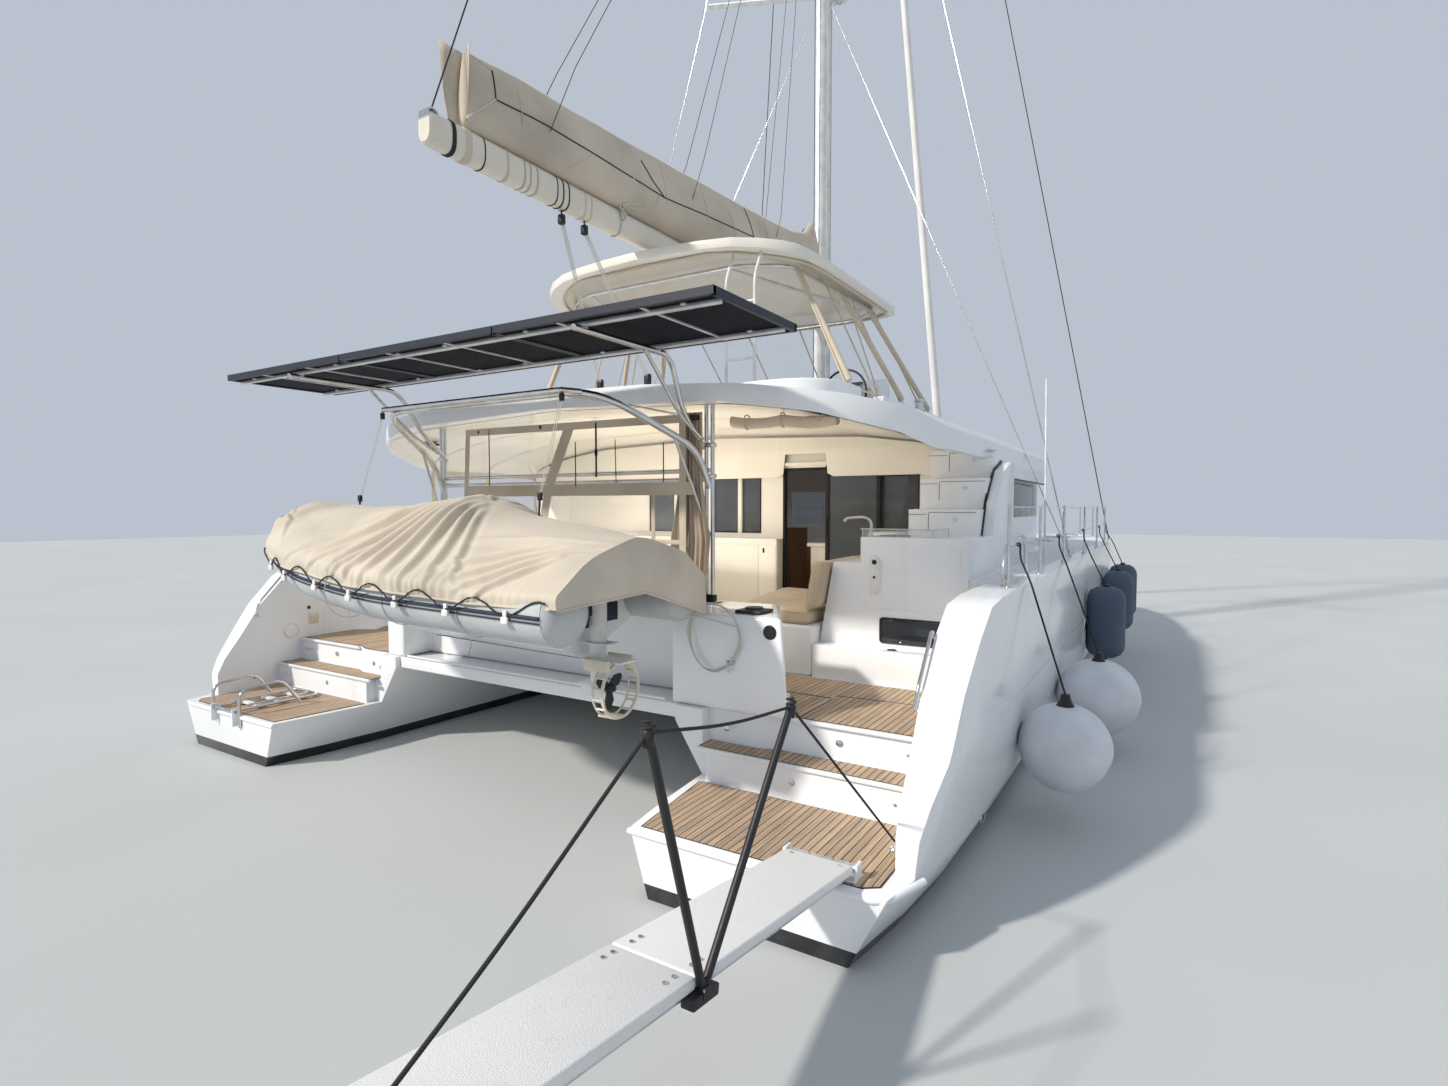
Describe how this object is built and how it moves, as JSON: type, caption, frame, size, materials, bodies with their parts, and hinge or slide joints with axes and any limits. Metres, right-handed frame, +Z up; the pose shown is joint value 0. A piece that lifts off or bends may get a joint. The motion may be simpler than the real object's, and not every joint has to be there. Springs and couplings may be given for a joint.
{
  "type": "sailing catamaran",
  "caption": "Sailing catamaran afloat: deckhouse, flybridge under a bimini, tender on davits, solar panels, furled sails, fenders and gangway.",
  "frame": {"origin": "on the waterline, amidships at the mast and on the centreline", "axes": "+X runs forward to the bows, +Y to port, +Z up the mast; z = 0 is the water's surface"},
  "size_m": [19.5162, 9.26, 28.5],
  "materials": {
    "gelcoat": "glossy white gelcoat",
    "antifoul": "flat black antifouling",
    "stainless": "polished stainless steel",
    "alloy": "painted and anodised alloy",
    "glass": "dark tinted glass",
    "canvas": "beige woven canvas",
    "vinyl": "clear vinyl with cloth edges",
    "cells": "navy solar cells under a clear sheet",
    "hypalon": "grey coated fabric tube",
    "fender": "inflated white vinyl",
    "navy": "inflated dark blue vinyl",
    "bronze": "cast bronze",
    "plastic": "cream moulded plastic",
    "net": "white netting"
  },
  "bodies": {
    "boat": {"hull_starboard": "gelcoat", "hull_port": "gelcoat", "bridgedeck": "gelcoat", "aft_bench": "gelcoat", "roof": "gelcoat", "saloon_walls": "gelcoat", "aft_bulkhead": "gelcoat", "galley_moulding": "gelcoat", "port_moulding": "gelcoat", "lounge_base": "gelcoat", "port_settee": "gelcoat", "cockpit_table": "gelcoat", "flybridge_coaming": "gelcoat", "helm_console": "gelcoat", "keel_starboard": "antifoul", "keel_port": "antifoul", "davit_frame": "stainless", "shrouds_port": "stainless", "shrouds_starboard": "stainless", "guardrail_port": "stainless", "guardrail_starboard": "stainless", "mast": "alloy", "forward_beam": "alloy", "saloon_glass": "glass", "aft_window_starboard": "glass", "aft_window_port": "glass", "lounge_cushion": "canvas", "lounge_back": "canvas", "settee_cushion": "canvas", "tender_cover": "canvas", "furled_headsail": "canvas", "curtain_roll": "canvas", "running_line_starboard": "canvas", "running_line_port": "canvas", "curtain_aft": "vinyl", "curtain_port": "vinyl", "solar_panels": "cells", "tender": "hypalon", "fender_ball_aft": "fender", "fender_ball_fore": "fender", "fender_cylinder_aft": "navy", "fender_cylinder_mid": "navy", "fender_cylinder_fore": "navy", "bimini": "plastic", "bimini_frame": "plastic", "outboard": "plastic", "net_port": "net", "net_starboard": "net"},
    "boom": {"boom": "alloy", "sail_bag": "canvas"},
    "rudder_port": {"rudder_port": "antifoul"},
    "rudder_starboard": {"rudder_starboard": "antifoul"},
    "helm_wheel": {"helm_wheel": "stainless"},
    "propeller_port": {"propeller_port": "bronze"},
    "propeller_starboard": {"propeller_starboard": "bronze"},
    "outboard_propeller": {"outboard_propeller": "plastic"},
    "sliding_door": {"sliding_door": "glass"},
    "gangway": {"gangway": "gelcoat"},
    "swim_ladder": {"swim_ladder": "stainless"}
  },
  "joints": [
    {"name": "boom_swing", "type": "hinge", "parent": "boat", "child": "boom", "pos_m": [-0.265, 0, 5.66], "axis": [0, 0, 1], "range_deg": [-60, 60]},
    {"name": "rudder_port_turn", "type": "hinge", "parent": "boat", "child": "rudder_port", "pos_m": [-6.4, 3.08, -0.46], "axis": [0, 0, 1], "range_deg": [-35, 35]},
    {"name": "rudder_starboard_turn", "type": "hinge", "parent": "boat", "child": "rudder_starboard", "pos_m": [-6.4, -3.08, -0.46], "axis": [0, 0, 1], "range_deg": [-35, 35]},
    {"name": "helm_wheel_turn", "type": "hinge", "parent": "boat", "child": "helm_wheel", "pos_m": [-1.145, -0.9, 4.33], "axis": [1, 0, 0], "range_deg": [-270, 270]},
    {"name": "propeller_port_spin", "type": "hinge", "parent": "boat", "child": "propeller_port", "pos_m": [-4.312, 3.08, -0.95], "axis": [1, 0, 0], "continuous": true},
    {"name": "propeller_starboard_spin", "type": "hinge", "parent": "boat", "child": "propeller_starboard", "pos_m": [-4.312, -3.08, -0.95], "axis": [1, 0, 0], "continuous": true},
    {"name": "outboard_propeller_spin", "type": "hinge", "parent": "boat", "child": "outboard_propeller", "pos_m": [-7.8, -1.862, 1.29], "axis": [0, 1, 0], "continuous": true},
    {"name": "saloon_door_slide", "type": "slide", "parent": "boat", "child": "sliding_door", "axis": [0, 1, 0], "range_m": [-0.08, 0.63]},
    {"name": "gangway_lift", "type": "hinge", "parent": "boat", "child": "gangway", "pos_m": [-7.9, -3.56, 0.51], "axis": [0, 1, 0], "range_deg": [-10, 60]},
    {"name": "swim_ladder_fold", "type": "hinge", "parent": "boat", "child": "swim_ladder", "pos_m": [-8.062, 3.1, 0.485], "axis": [0, -1, 0], "range_deg": [0, 250]}
  ],
  "couplings": [
    {"joint": "rudder_starboard_turn", "follows": "rudder_port_turn", "ratio": 1},
    {"joint": "helm_wheel_turn", "follows": "rudder_port_turn", "ratio": 7.7}
  ]
}
